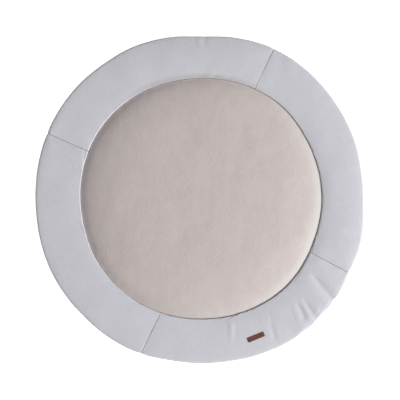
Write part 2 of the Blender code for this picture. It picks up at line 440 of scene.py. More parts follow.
@dataclass
class Wire:
    """Output socket of a material's node, used in sums like a number."""

    tree: bpy.types.NodeTree
    socket: bpy.types.NodeSocket

    def _math(self, operation: str, *others: "Wire | float") -> "Wire":
        """Math node on this socket and others."""
        return build_node(self.tree, "ShaderNodeMath", {"operation": operation},
                          dict(enumerate((self, *others))))

    def __add__(self, other: "Wire | float") -> "Wire":
        """Sum."""
        return self._math("ADD", other)

    __radd__ = __add__

    def __mul__(self, other: "Wire | float") -> "Wire":
        """Product."""
        return self._math("MULTIPLY", other)

    __rmul__ = __mul__

    def __sub__(self, other: "Wire | float") -> "Wire":
        """Difference."""
        return self._math("SUBTRACT", other)

    def __rsub__(self, other: float) -> "Wire":
        """Difference from a number."""
        return build_node(self.tree, "ShaderNodeMath", {"operation": "SUBTRACT"}, {0: other, 1: self})

    def __truediv__(self, other: "Wire | float") -> "Wire":
        """Quotient."""
        return self._math("DIVIDE", other)

    def __pow__(self, other: float) -> "Wire":
        """Power."""
        return self._math("POWER", other)

    def __abs__(self) -> "Wire":
        """Size without its sign."""
        return self._math("ABSOLUTE")

    def sine(self) -> "Wire":
        """Sine of radians."""
        return self._math("SINE")

    def at_least(self, other: "Wire | float") -> "Wire":
        """The larger of two."""
        return self._math("MAXIMUM", other)

    def between(self, low: float, high: float) -> "Wire":
        """Smooth step from 0 at low to 1 at high."""
        return build_node(self.tree, "ShaderNodeMapRange", {"interpolation_type": "SMOOTHSTEP"},
                          {"Value": self, "From Min": low, "From Max": high})


def build_node(tree: bpy.types.NodeTree, kind: str, settings: dict | None = None,
               inputs: dict | None = None, output: str | int = 0) -> Wire:
    """Any node, with its settings first and then its sockets.

    Args:
        tree: material's node tree.
        kind: node type.
        settings: values of the node's own properties.
        inputs: socket name or number to a value or a Wire.
        output: socket to read.

    Returns:
        The node's output.
    """
    node = tree.nodes.new(kind)
    for name, value in (settings or {}).items():
        if name == "stops":
            for element, (place, colour) in zip(node.color_ramp.elements, value):
                element.position, element.color = place, (*colour, 1)
        else:
            setattr(node, name, value)
    for key, value in (inputs or {}).items():
        socket = node.inputs[key]
        if isinstance(value, Wire):
            tree.links.new(value.socket, socket)
        elif hasattr(value, "__len__") and len(value) == 3 and len(getattr(socket, "default_value")) == 4:
            socket.default_value = (*value, 1)
        else:
            socket.default_value = value
    return Wire(tree, node.outputs[output])


Colour = tuple[float, float, float]


@dataclass(frozen=True)
class Finish:
    """Base of the finishes: the material, its shader and its mixes."""

    name: str

    def start(self) -> tuple[bpy.types.Material, bpy.types.NodeTree, bpy.types.Node]:
        """Return a new material with its tree and its shader."""
        material = bpy.data.materials.new(self.name)
        material.use_nodes = True
        return material, material.node_tree, material.node_tree.nodes["Principled BSDF"]

    @staticmethod
    def mix(tree: bpy.types.NodeTree, share: Wire, first: Wire | Colour, second: Wire | Colour) -> Wire:
        """Mix two colours by a share from 0 to 1."""
        return build_node(tree, "ShaderNodeMix", {"data_type": "RGBA"}, {0: share, 6: first, 7: second}, 2)

    @staticmethod
    def noise(tree: bpy.types.NodeTree, place: Wire, size: float, detail: float = 2.0,
              stretch: tuple[float, float, float] = (1.0, 1.0, 1.0)) -> Wire:
        """Noise from 0 to 1 with lumps of a size in metres."""
        scaled = build_node(tree, "ShaderNodeMapping", {}, {"Vector": place, "Scale": stretch})
        return build_node(tree, "ShaderNodeTexNoise", {"noise_dimensions": "3D"},
                          {"Vector": scaled, "Scale": 1 / size, "Detail": detail, "Roughness": 0.55})

    @staticmethod
    def bump(tree: bpy.types.NodeTree, height: Wire, depth: float, under: Wire | None = None) -> Wire:
        """Bump of a depth in metres from a height of 0 to 1."""
        inputs = {"Height": height, "Distance": depth, "Strength": 1.0}
        if under is not None:
            inputs["Normal"] = under
        return build_node(tree, "ShaderNodeBump", {}, inputs)


@dataclass(frozen=True)
class CottonFinish(Finish):
    """Plain woven cotton: two crossing threads, slubs, a slight melange, and a pile tint with painted shade by the
    inner seam.
    """

    colour: Colour
    pale: Colour
    # Darkened pile colour: a pile tint with painted shade, mixed in by the inner seam at the mat's top
    lint: Colour
    thread: float = 0.0011
    depth: float = 0.00016
    roughness: float = 0.82

    def make(self) -> bpy.types.Material:
        """Build the material on the piece's flat cloth places."""
        material, tree, shader = self.start()
        place = build_node(tree, "ShaderNodeTexCoord", {}, {}, "Object")
        flat = build_node(tree, "ShaderNodeUVMap", {"uv_map": "cloth"})
        apart = build_node(tree, "ShaderNodeSeparateXYZ", {}, {0: flat})
        u, v = apart, Wire(tree, apart.socket.node.outputs[1])
        turns = 2 * math.pi / self.thread
        over = (u * turns).sine() * (v * turns).sine()
        threads = over * 0.5 + 0.5
        warp = self.noise(tree, flat, 0.004, 2.0, (1.0, 0.06, 1.0))
        weft = self.noise(tree, flat, 0.004, 2.0, (0.06, 1.0, 1.0))
        cloud = self.noise(tree, place, 0.11, 3.0)
        fleck = (warp * 0.5 + weft * 0.5).between(0.38, 0.66)
        share = (fleck * 0.4 + threads * 0.2 + cloud * 0.4).between(0.15, 0.85)
        # Pile tint with painted shade on the ring's top by the inner seam
        pile_tint_and_shade_share = build_node(tree, "ShaderNodeAttribute", {"attribute_name": "lint"}, {}, "Fac")
        colour = self.mix(tree, pile_tint_and_shade_share, self.mix(tree, share, self.colour, self.pale), self.lint)
        tree.links.new(colour.socket, shader.inputs["Base Color"])
        height = threads * 0.8 + (warp + weft) * 0.1
        tree.links.new(self.bump(tree, height, self.depth).socket, shader.inputs["Normal"])
        rough = cloud * 0.08 + (self.roughness - 0.04)
        tree.links.new(rough.socket, shader.inputs["Roughness"])
        shader.inputs["Sheen Weight"].default_value = 0.12
        shader.inputs["Sheen Roughness"].default_value = 0.5
        shader.inputs["Specular IOR Level"].default_value = 0.25
        return material


@dataclass(frozen=True)
class PileFinish(Finish):
    """Short soft pile: fine fibres, patches where the nap lies another way, and a painted highlight on the rim."""

    colour: Colour
    pale: Colour
    deep: Colour
    # Paler colour of the painted highlight on the pad's rim, on the side towards the light
    painted_highlight: Colour

    def make(self) -> bpy.types.Material:
        """Build the material on the piece's own places."""
        material, tree, shader = self.start()
        place = build_node(tree, "ShaderNodeTexCoord", {}, {}, "Object")
        patches = self.noise(tree, place, 0.075, 3.0)
        strokes = self.noise(tree, place, 0.022, 3.0, (1.0, 0.55, 1.0))
        tufts = self.noise(tree, place, 0.0042, 3.0)
        fibres = self.noise(tree, place, 0.0011, 2.0)
        nap = (patches * 0.55 + strokes * 0.45).between(0.3, 0.7)
        base = self.mix(tree, nap * 0.6 + tufts * 0.4, self.deep, self.pale)
        colour = self.mix(tree, fibres.between(0.25, 0.75) * 0.5 + 0.25, self.colour, base)
        # Painted highlight: paler pile along the rim on the lit side
        painted_highlight = build_node(tree, "ShaderNodeAttribute", {"attribute_name": "painted_highlight"}, {}, "Fac")
        colour = self.mix(tree, painted_highlight * (tufts * 0.5 + 0.7), colour, self.painted_highlight)
        tree.links.new(colour.socket, shader.inputs["Base Color"])
        soft = self.bump(tree, strokes * 0.5 + tufts * 0.5, 0.0011)
        normal = self.bump(tree, fibres, 0.0005, soft)
        tree.links.new(normal.socket, shader.inputs["Normal"])
        shader.inputs["Roughness"].default_value = 0.95
        shader.inputs["Sheen Weight"].default_value = 0.55
        shader.inputs["Sheen Roughness"].default_value = 0.35
        shader.inputs["Sheen Tint"].default_value = (0.95, 0.90, 0.87, 1)
        shader.inputs["Specular IOR Level"].default_value = 0.1
        return material


@dataclass(frozen=True)
class LeatherFinish(Finish):
    """Smooth tanned leather: fine grain, mottled brown, darker burnished edges."""

    colour: Colour
    dark: Colour

    def make(self) -> bpy.types.Material:
        """Build the material on the tag's flat places, measured from its middle."""
        material, tree, shader = self.start()
        flat = build_node(tree, "ShaderNodeUVMap", {"uv_map": "cloth"})
        worn = build_node(tree, "ShaderNodeAttribute", {"attribute_name": "edge"}, {}, "Fac")
        mottle = self.noise(tree, flat, 0.0045, 4.0)
        grain = build_node(tree, "ShaderNodeTexVoronoi", {"feature": "DISTANCE_TO_EDGE"},
                           {"Vector": flat, "Scale": 1 / 0.0007})
        pores = self.noise(tree, flat, 0.0004, 2.0)
        share = mottle.between(0.38, 0.66) * 0.6 + worn * 0.9
        colour = self.mix(tree, share, self.colour, self.dark)
        tree.links.new(colour.socket, shader.inputs["Base Color"])
        height = grain.between(0.0, 0.12) * 0.7 + pores * 0.3
        tree.links.new(self.bump(tree, height, 0.00006).socket, shader.inputs["Normal"])
        tree.links.new((mottle * 0.15 + 0.42).socket, shader.inputs["Roughness"])
        shader.inputs["Specular IOR Level"].default_value = 0.4
        return material


@dataclass(frozen=True)
class ThreadFinish(Finish):
    """Twisted sewing thread."""

    colour: Colour

    def make(self) -> bpy.types.Material:
        """Build the material on the stitches' own places."""
        material, tree, shader = self.start()
        place = build_node(tree, "ShaderNodeTexCoord", {}, {}, "Object")
        twist = self.noise(tree, place, 0.0005, 1.0)
        dark = tuple(0.55 * part for part in self.colour)
        colour = self.mix(tree, twist.between(0.35, 0.65), self.colour, dark)
        tree.links.new(colour.socket, shader.inputs["Base Color"])
        tree.links.new(self.bump(tree, twist, 0.0001).socket, shader.inputs["Normal"])
        shader.inputs["Roughness"].default_value = 0.6
        return material


@dataclass(frozen=True)
class FloorFinish(Finish):
    """Plain pale studio floor, lit through like a light table."""

    colour: Colour
    glow: float

    def make(self) -> bpy.types.Material:
        """Build the material."""
        material, tree, shader = self.start()
        place = build_node(tree, "ShaderNodeTexCoord", {}, {}, "Object")
        cloud = self.noise(tree, place, 0.6, 2.0)
        colour = self.mix(tree, cloud * 0.1, self.colour, (1.0, 1.0, 1.0))
        tree.links.new(colour.socket, shader.inputs["Base Color"])
        shader.inputs["Roughness"].default_value = 0.9
        shader.inputs["Specular IOR Level"].default_value = 0.0
        shader.inputs["Emission Color"].default_value = (1, 1, 1, 1)
        shader.inputs["Emission Strength"].default_value = self.glow
        return material


# The cotton's last colour is a pile tint with painted shade for the ring by the inner seam
COTTON = CottonFinish("woven_cotton", (0.532, 0.532, 0.571), (0.570, 0.570, 0.608), (0.395, 0.365, 0.365))
# The pile's last colour is a painted highlight for the pad's rim on the lit side
PILE = PileFinish("pile_cloth", (0.535, 0.476, 0.463), (0.585, 0.528, 0.518), (0.468, 0.410, 0.396), (0.540, 0.520, 0.500))
LEATHER = LeatherFinish("tanned_leather", (0.190, 0.054, 0.036), (0.050, 0.016, 0.011))
THREAD = ThreadFinish("tag_thread", (0.090, 0.035, 0.022))


@dataclass
class SectionFrame:
    """Upright planes across the ring, one for each column, with what shapes the section there."""

    inner_angle: Array
    outer_angle: Array
    clear: Array
    seam_distance: Array
    tuck: float = 0.0012
    tuck_reach: float = 0.009
    inner: Array = field(init=False)
    outer: Array = field(init=False)

    def __post_init__(self) -> None:
        """Work out the ends of each plane."""
        pull = np.exp(-self.seam_distance / self.tuck_reach)
        inner_radius = INNER_SEAM_AT(self.inner_angle)
        outer_radius = OUTLINE_AT(self.outer_angle) - self.tuck * pull
        self.inner = self.ray(self.inner_angle) * inner_radius[:, None]
        self.outer = self.ray(self.outer_angle) * outer_radius[:, None]
        way = self.outer - self.inner
        way /= np.linalg.norm(way, axis=1, keepdims=True)
        side = np.stack([-way[:, 1], way[:, 0]], axis=1) * self.clear[:, None]
        self.inner = self.inner + side + way * GAP / 2
        self.outer = self.outer + side

    @staticmethod
    def ray(angle: Array) -> Array:
        """Unit steps outward at each angle."""
        return np.stack([np.cos(np.radians(angle)), np.sin(np.radians(angle))], axis=1)

    def points(self, across: Array, rise: Array, top: bool) -> Array:
        """Points of all sections.

        Args:
            across: shares of the width.
            rise: shares of the height.
            top: the crown leans, as it does on the top only.

        Returns:
            (columns, rows, 3) places.
        """
        share = np.broadcast_to(across, (len(self.inner_angle), len(across))).copy()
        rise = np.broadcast_to(rise, share.shape)
        if top:
            rise = self.shaped_rise(share, rise)
            share += LEAN_AT(self.outer_angle)[:, None] * 4 * share * (1 - share)
        xy = self.inner[:, None] + (self.outer - self.inner)[:, None] * share[..., None]
        crown = CROWN_AT(self.outer_angle)[:, None]
        z = UNDERSIDE + (crown - UNDERSIDE) * rise
        return np.concatenate([xy, z[..., None]], axis=2)

    def shaped_rise(self, share: Array, rise: Array) -> Array:
        """Flatten the inner half and let the outer half fall as the table of the ring's crown says."""
        flat = 1 - ROUNDNESS_AT(self.outer_angle)[:, None]
        inner = rise_to(share, 0.0, 0.012) * rise_to(share, 0.7, 0.35)
        fall = FALL_AT(self.outer_angle)[:, None] * (np.maximum(share - 0.5, 0) / 0.5) ** 2
        fall = fall * np.maximum(rise - OUTER_JOIN, 0) / (1 - OUTER_JOIN)
        return 1 - (1 - rise) * (1 - flat * inner) - fall

    def normals(self, points: Array) -> Array:
        """Normals of the section paths, on the left of their way."""
        way = self.outer - self.inner
        way = way / np.linalg.norm(way, axis=1, keepdims=True)
        step = np.gradient(points, axis=1)
        along = (step[..., :2] * way[:, None]).sum(axis=2)
        up = step[..., 2]
        length = np.maximum(np.hypot(along, up), 1e-9)
        return np.concatenate([-way[:, None] * (up / length)[..., None], (along / length)[..., None]], axis=2)


@dataclass
class RingPanel:
    """Quarter of the ring: filled, drawn in at its two cross seams, its inner seam and its outer seam."""

    name: str
    replaces: str
    start: tuple[float, float]
    end: tuple[float, float]
    seed: float
    column_step: float = 0.0055
    top_rows: int = 50
    row_crowding: float = 0.86
    under_rows: int = 7
    seam_spacing: tuple[float, ...] = (0.0, 0.0007, 0.0017, 0.0032, 0.0055, 0.0085, 0.0125, 0.0175)
    seam_reach: float = 0.0017
    broad_dip: float = 0.0005
    # Angle and spread of the pile tint with painted shade by the inner seam
    pile_tint_and_shade_at: float = 95.0
    pile_tint_and_shade_spread: float = 31.0
    broad_reach: float = 0.016
    puff: Puff = Puff()

    def sections(self) -> SectionFrame:
        """Return the panel's columns, close together at both ends."""
        inner_sweep = (self.end[0] - self.start[0]) % 360
        outer_sweep = (self.end[1] - self.start[1]) % 360
        length = math.radians(outer_sweep) * float(OUTLINE_AT(self.start[1]))
        ends = np.array(self.seam_spacing) / length
        inside = int(length / self.column_step)
        middle = np.linspace(ends[-1], 1 - ends[-1], inside)[1:-1]
        share = np.concatenate([ends, middle, 1 - ends[::-1]])
        return SectionFrame(
            self.start[0] + inner_sweep * share, self.start[1] + outer_sweep * share,
            GAP / 2 * (1 - 2 * share), np.minimum(share, 1 - share) * length,
        )

    def top_shape(self, sections: SectionFrame, rows: Array) -> tuple[Array, Array]:
        """Place the top's points with its cross seams, creases, puckers and slight unevenness.

        Args:
            sections: the panel's columns.
            rows: places along the path of RING_TOP.

        Returns:
            The points, and the distance of each from the inner seam along the cloth.
        """
        across, rise = path_points(RING_TOP, rows)
        points = sections.points(across, rise, top=True)
        steps = np.linalg.norm(np.diff(points, axis=1), axis=2)
        from_inner = np.concatenate([np.zeros((len(points), 1)), np.cumsum(steps, axis=1)], axis=1)
        from_outer = from_inner[:, -1:] - from_inner
        away = sections.seam_distance[:, None]
        raised = np.clip((rise - RING_TOP[0][1]) / (1 - RING_TOP[0][1]), 0, 1)[None, :]
        dip = self.seam_dip(sections, across) * np.exp(-away / self.seam_reach)
        dip = dip + self.broad_dip * np.exp(-away / self.broad_reach)
        angle = np.radians(sections.outer_angle)[:, None]
        arc = angle * np.linalg.norm(points[..., :2], axis=2)
        lift = fold_height(points[..., :2]) * rise_to(from_inner, 0.0, 0.012)
        lift += self.puckers(arc, from_inner, 0.019, 0.0011, 0.016, 1.0)
        uneven = 0.3 + 0.7 * np.exp(-(((sections.outer_angle[:, None] % 360) - 322) / 28) ** 2)
        lift += uneven * self.puckers(arc, from_outer, 0.023, 0.0018, 0.022, 2.0)
        lift += self.puckers(from_inner, away + 0 * arc, 0.014, 0.0006, 0.010, 3.0)
        free = rise_to(np.minimum(from_inner, from_outer), 0.0, 0.03)
        lift += 0.0011 * free * noise_at(points[..., :2], 0.085, self.seed)
        lift += 0.0005 * free * noise_at(points[..., :2], 0.034, self.seed + 5)
        points = points + sections.normals(points) * (lift - dip * raised)[..., None]
        return points, from_inner

    @staticmethod
    def seam_dip(sections: SectionFrame, across: Array) -> Array:
        """Depth that the nearest cross seam has at each share of the width."""
        angles = np.array([row[0] for row in CROSS_SEAMS])
        apart = np.abs((sections.outer_angle[:, None] - angles[None, :] + 180) % 360 - 180)
        nearest = apart.argmin(axis=1)
        inner = np.array([row[1] for row in CROSS_SEAMS])[nearest][:, None]
        outer = np.array([row[2] for row in CROSS_SEAMS])[nearest][:, None]
        return inner + (outer - inner) * np.clip(across, 0, 1)[None, :]

    def puckers(self, along: Array, away: Array, size: float, height: float, reach: float, seed: float) -> Array:
        """Small gathers that run away from a seam.

        Args:
            along: distance along the seam.
            away: distance from the seam.
            size: usual width of a gather.
            height: height of a gather near the seam.
            reach: distance over which it fades.
            seed: which seam this is.

        Returns:
            Height at each place.
        """
        places = np.stack([along / size, away / (4 * size)], axis=-1)
        wave = noise_at(places, 1.0, self.seed + 10 * seed)
        strength = 0.55 + 0.9 * noise_at(places, 7.0, self.seed + 20 * seed)
        near = rise_to(away, -0.002, 0.005) * np.exp(-away / reach)
        return height * 2 * wave * np.clip(strength, 0.1, 1.4) * near

    def build(self) -> bpy.types.Object:
        """Build the panel, swell it, and return it with the frame calls made."""
        sections = self.sections()
        rows = self.even_rows(sections)
        top, from_inner = self.top_shape(sections, rows)
        under_rows = np.linspace(0, len(RING_UNDERSIDE) - 1, self.under_rows)[1:]
        under = sections.points(*path_points(RING_UNDERSIDE, under_rows), top=False)
        corner = sections.points(np.array([0.5, 0.0]), np.array([0.0, 0.0]), top=False)
        loop = np.concatenate([top, under, corner], axis=1)
        columns, count = loop.shape[:2]
        faces = grid_faces(columns, count, False, True)
        faces.append(tuple(range(count))[::-1])
        faces.append(tuple((columns - 1) * count + i for i in range(count)))
        piece = new_piece(self.name, loop, faces, self.flat_places(sections, loop))
        held = np.ones((columns, count))
        spare = np.zeros((columns, count))
        from_outer = from_inner[:, -1:] - from_inner
        away = np.broadcast_to(sections.seam_distance[:, None], from_inner.shape)
        far = np.minimum(np.minimum(from_inner, from_outer), away)
        free = rise_to(from_inner, 0.001, 0.010) * rise_to(from_outer, 0.004, 0.022) * rise_to(away, 0.001, 0.010)
        held[:, : top.shape[1]] = 1 - free
        spare[:, : top.shape[1]] = 1 - rise_to(far, 0.010, 0.045)
        self.puff.settle(piece, held.ravel(), spare.ravel(),
                         lambda shift: blur(shift.reshape(columns, count, 3), 4.0).reshape(-1, 3))
        # Pile tint with painted shade: darker pile colour on the ring's top by the inner seam, round the mat's top
        # only, on the side away from the light
        at_top = (sections.outer_angle[:, None] - self.pile_tint_and_shade_at + 180) % 360 - 180
        lint = np.zeros((columns, count))
        lint[:, : top.shape[1]] = np.exp(-(at_top / self.pile_tint_and_shade_spread) ** 4) * (1 - rise_to(from_inner, 0.0, 0.022))
        mark_points(piece, "lint", lint * 0.85)
        subdivide(piece)
        piece.data.materials.append(COTTON.make() if COTTON.name not in bpy.data.materials
                                    else bpy.data.materials[COTTON.name])
        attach(piece, "root")
        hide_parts(self.replaces)
        LOG.info("%s: %d faces", piece.name, len(piece.data.polygons))
        return piece

    def even_rows(self, sections: SectionFrame) -> Array:
        """Return places along the top's path, close together near both seams."""
        fine = np.linspace(0, len(RING_TOP) - 1, 400)
        points = sections.points(*path_points(RING_TOP, fine), top=True)[len(sections.clear) // 2]
        length = np.concatenate([[0], np.cumsum(np.linalg.norm(np.diff(points, axis=0), axis=1))])
        share = np.linspace(0, 1, self.top_rows)
        share = share - self.row_crowding * np.sin(2 * math.pi * share) / (2 * math.pi)
        return np.interp(share * length[-1], length, fine)

    def flat_places(self, sections: SectionFrame, loop: Array) -> Array:
        """Lay the cover out flat: straight threads along the panel's own middle.

        Args:
            sections: the panel's columns.
            loop: the panel's points.

        Returns:
            A flat place for each point, in metres.
        """
        steps = np.linalg.norm(np.diff(loop, axis=1), axis=2)
        cloth = np.concatenate([np.zeros((len(loop), 1)), np.cumsum(steps, axis=1)], axis=1)
        radius = np.linalg.norm(loop[:, :1, :2], axis=2) + cloth
        middle = self.start[1] + ((self.end[1] - self.start[1]) % 360) / 2
        angle = np.radians(sections.outer_angle - middle)[:, None]
        return np.stack([radius * np.sin(angle), radius * np.cos(angle)], axis=2)


@dataclass
class RoundCloth:
    """Round of cloth as a fine square block in the middle and rings of points round it."""

    block: int = 75
    block_radius: float = 0.20
    squareness: float = 0.35

    @property
    def columns(self) -> int:
        """Number of points in a ring."""
        return 4 * self.block

    def angles(self) -> Array:
        """Angle of each column, from the block's first corner."""
        return np.arange(self.columns) * 360 / self.columns - 45

    def block_points(self, radius: float) -> Array:
        """Places of the block, seen from above, row by row.

        Args:
            radius: usual distance of its border from the middle.

        Returns:
            (block + 1, block + 1, 2) places.
        """
        step = math.sqrt(2) * np.sin(np.radians(np.linspace(-45, 45, self.block + 1)))
        x, y = np.meshgrid(step, step, indexing="ij")
        round_part = np.stack([x * np.sqrt(1 - y * y / 2), y * np.sqrt(1 - x * x / 2)], axis=-1)
        square_part = np.stack([x, y], axis=-1) * 0.85
        return radius * ((1 - self.squareness) * round_part + self.squareness * square_part)

    def border(self) -> list[int]:
        """Points on the block's border, in the order of the columns."""
        n, side = self.block, self.block + 1
        right = [n * side + j for j in range(n)]
        far = [i * side + n for i in range(n, 0, -1)]
        left = [j for j in range(n, 0, -1)]
        near = [i * side for i in range(n)]
        return right + far + left + near

    def block_faces(self, start: int, up: bool) -> list:
        """Faces of a block whose first point has the index start, turned up or down."""
        faces = grid_faces(self.block + 1, self.block + 1, False, False, start)
        return faces if not up else [face[::-1] for face in faces]

    def disc(self, edge: Array, shares: Array) -> tuple[Array, Array, list]:
        """Block and rings out to an edge.

        Args:
            edge: (columns, 2) places of the edge.
            shares: how far each ring lies from the block to the edge, the last 1.

        Returns:
            The block's places, the rings' places as (rings, columns, 2), and the faces.
        """
        block = self.block_points(self.block_radius)
        border = self.border()
        first = block.reshape(-1, 2)[border]
        rings = first[None] + (edge - first)[None] * shares[:, None, None]
        count = (self.block + 1) ** 2
        faces = self.block_faces(0, True)
        turned = border + border[:1]
        for k in range(self.columns):
            k2 = (k + 1) % self.columns
            faces.append((turned[k], count + k, count + k2, turned[k + 1]))
        faces += grid_faces(len(rings), self.columns, False, True, count)
        return block, rings, faces


@dataclass
class CentrePad(RoundCloth):
    """Filled round pad of pile cloth, drawn in at the seam all round."""

    edge_step: float = 0.0042
    middle_step: float = 0.0075
    rim: float = 0.055
    # Angle of the painted highlight on the pad's rim, towards the key light
    painted_highlight_at: float = -14.0
    puff: Puff = Puff(cap=0.0008, spare_cloth=0.02)

    def shares(self) -> Array:
        """Shares of the way from the block to the seam, close together near the seam."""
        way = float(INNER_SEAM_AT(0.0)) - self.block_radius
        middle = np.arange(self.middle_step, way - self.rim, self.middle_step)
        edge = np.arange(way - self.rim, way - 0.0075, self.edge_step)
        lip = way - np.array([0.0060, 0.0042, 0.0028, 0.0017, 0.0009, 0.0003, 0.0])
        return np.concatenate([middle, edge, lip]) / way

    def build(self) -> bpy.types.Object:
        """Build the pad and return it with the frame calls made."""
        angle = self.angles()
        edge = SectionFrame.ray(angle) * (INNER_SEAM_AT(angle) - GAP / 2)[:, None]
        block, rings, faces = self.disc(edge, self.shares())
        xy = np.concatenate([block.reshape(-1, 2), rings.reshape(-1, 2)])
        count = len(xy)
        turn = np.degrees(np.arctan2(xy[:, 1], xy[:, 0]))
        limit = INNER_SEAM_AT(turn) - GAP / 2
        radius = np.linalg.norm(xy, axis=1)
        rise = RowCurve([row[0] for row in PAD_TOP], [row[1] for row in PAD_TOP])(radius / limit)
        away = np.maximum(limit - radius, 0)
        height = INNER_SEAM_HEIGHT + (PAD_CROWN - INNER_SEAM_HEIGHT) * rise
        height = height + self.unevenness(xy, turn, away)
        under = self.block_points(self.block_radius)
        stretch = INNER_SEAM_AT(np.degrees(np.arctan2(under[..., 1], under[..., 0]))) / self.block_radius
        under = (under * (stretch * 0.82)[..., None]).reshape(-1, 2)
        top = np.concatenate([xy, height[:, None]], axis=1)
        foot = np.concatenate([edge, np.full((self.columns, 1), UNDERSIDE)], axis=1)
        flat = np.concatenate([under, np.full((len(under), 1), UNDERSIDE)], axis=1)
        points = np.concatenate([top, foot, flat])
        rim = count - self.columns
        faces += grid_faces(2, self.columns, False, True, rim)
        border = [count + self.columns + index for index in self.border()]
        for k in range(self.columns):
            k2 = (k + 1) % self.columns
            faces.append((count + k, border[k], border[k2], count + k2))
        faces += self.block_faces(count + self.columns, False)
        piece = new_piece("pad_of_pile_cloth", points, faces, points[:, :2])
        hidden = len(points) - count
        held = np.concatenate([1 - rise_to(away, 0.002, 0.075), np.ones(hidden)])
        spare = np.concatenate([1 - rise_to(away, 0.010, 0.05), np.zeros(hidden)])
        self.puff.settle(piece, held, spare)
        # Painted highlight: paler pile near the seam on the side towards the light
        at_right = (turn - self.painted_highlight_at + 180) % 360 - 180
        painted_highlight = np.zeros(len(points))
        painted_highlight[:count] = np.exp(-(at_right / 52.0) ** 2) * (1 - rise_to(away, 0.004, 0.034))
        mark_points(piece, "painted_highlight", painted_highlight)
        subdivide(piece)
        piece.data.materials.append(PILE.make())
        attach(piece, "root")
        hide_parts("centre_pad")
        LOG.info("%s: %d faces", piece.name, len(piece.data.polygons))
        return piece

    def unevenness(self, xy: Array, turn: Array, away: Array) -> Array:
        """Slight hollows in the filling, and gathers at the seam.

        Args:
            xy: places seen from above.
            turn: their angles.
            away: distance from the seam.

        Returns:
            Height to add at each place.
        """
        free = rise_to(away, 0.0, 0.04)
        height = 0.0012 * free * noise_at(xy, 0.12, 3.3)
        height += 0.0005 * free * noise_at(xy, 0.045, 7.7)
        ring = SectionFrame.ray(turn) * INNER_SEAM_AT(turn)[:, None] / 0.017
        places = np.concatenate([ring, away[:, None] / 0.06], axis=1)
        gather = noise_at(places, 1.0, 4.4) * np.clip(0.5 + noise_at(places, 6.0, 8.8), 0.1, 1.2)
        return height + 0.0014 * gather * rise_to(away, 0.0, 0.006) * np.exp(-away / 0.02)


@dataclass
class BackCloth(RoundCloth):
    """Round of cotton under the mat, its edge turned up along the ring to the outer seam."""

    block_radius: float = 0.32
    rim_rows: int = 9
    seam_thickness: float = 0.0008

    def build(self) -> bpy.types.Object:
        """Build the cloth and return it with the frame calls made."""
        angle = self.angles()
        seams = np.array([63.9, 156.4, 249.0, 333.9])
        apart = np.abs((angle[:, None] - seams[None, :] + 180) % 360 - 180).min(axis=1)
        sections = SectionFrame(angle, angle, np.zeros(self.columns), np.radians(apart) * OUTLINE_AT(angle))
        rows = np.linspace(len(RING_UNDERSIDE) - 1, 0, self.rim_rows)
        path = sections.points(*path_points(RING_UNDERSIDE, rows), top=False)
        up = sections.normals(path)
        up[:, 0] = (0, 0, 1)
        thickness = np.full(self.rim_rows, CLOTH_THICKNESS)
        thickness[-1] = self.seam_thickness
        inner = (path - up * GAP).transpose(1, 0, 2)
        outer = (path - up * (GAP + thickness)[None, :, None]).transpose(1, 0, 2)
        outer[..., 2] = np.maximum(outer[..., 2], 0)
        middle, _, faces = self.disc(inner[0, :, :2], np.array([1.0]))
        under, _, under_faces = self.disc(outer[0, :, :2], np.array([1.0]))
        block = (self.block + 1) ** 2
        above = np.concatenate([middle.reshape(-1, 2), np.full((block, 1), CLOTH_THICKNESS)], axis=1)
        below = np.concatenate([under.reshape(-1, 2), np.zeros((block, 1))], axis=1)
        points = np.concatenate([above, inner.reshape(-1, 3), below, outer.reshape(-1, 3)])
        side = block + inner.shape[0] * self.columns
        faces += grid_faces(self.rim_rows, self.columns, False, True, block)
        faces += [tuple(index + side for index in face[::-1]) for face in under_faces]
        faces += [face[::-1] for face in grid_faces(self.rim_rows, self.columns, False, True, side + block)]
        last = side - self.columns
        for k in range(self.columns):
            k2 = (k + 1) % self.columns
            faces.append((last + k, last + side + k, last + side + k2, last + k2))
        piece = new_piece("back_of_cotton", points, faces, points[:, :2])
        piece.data.materials.append(bpy.data.materials.get(COTTON.name) or COTTON.make())
        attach(piece, "root")
        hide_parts("back_cloth")
        return piece


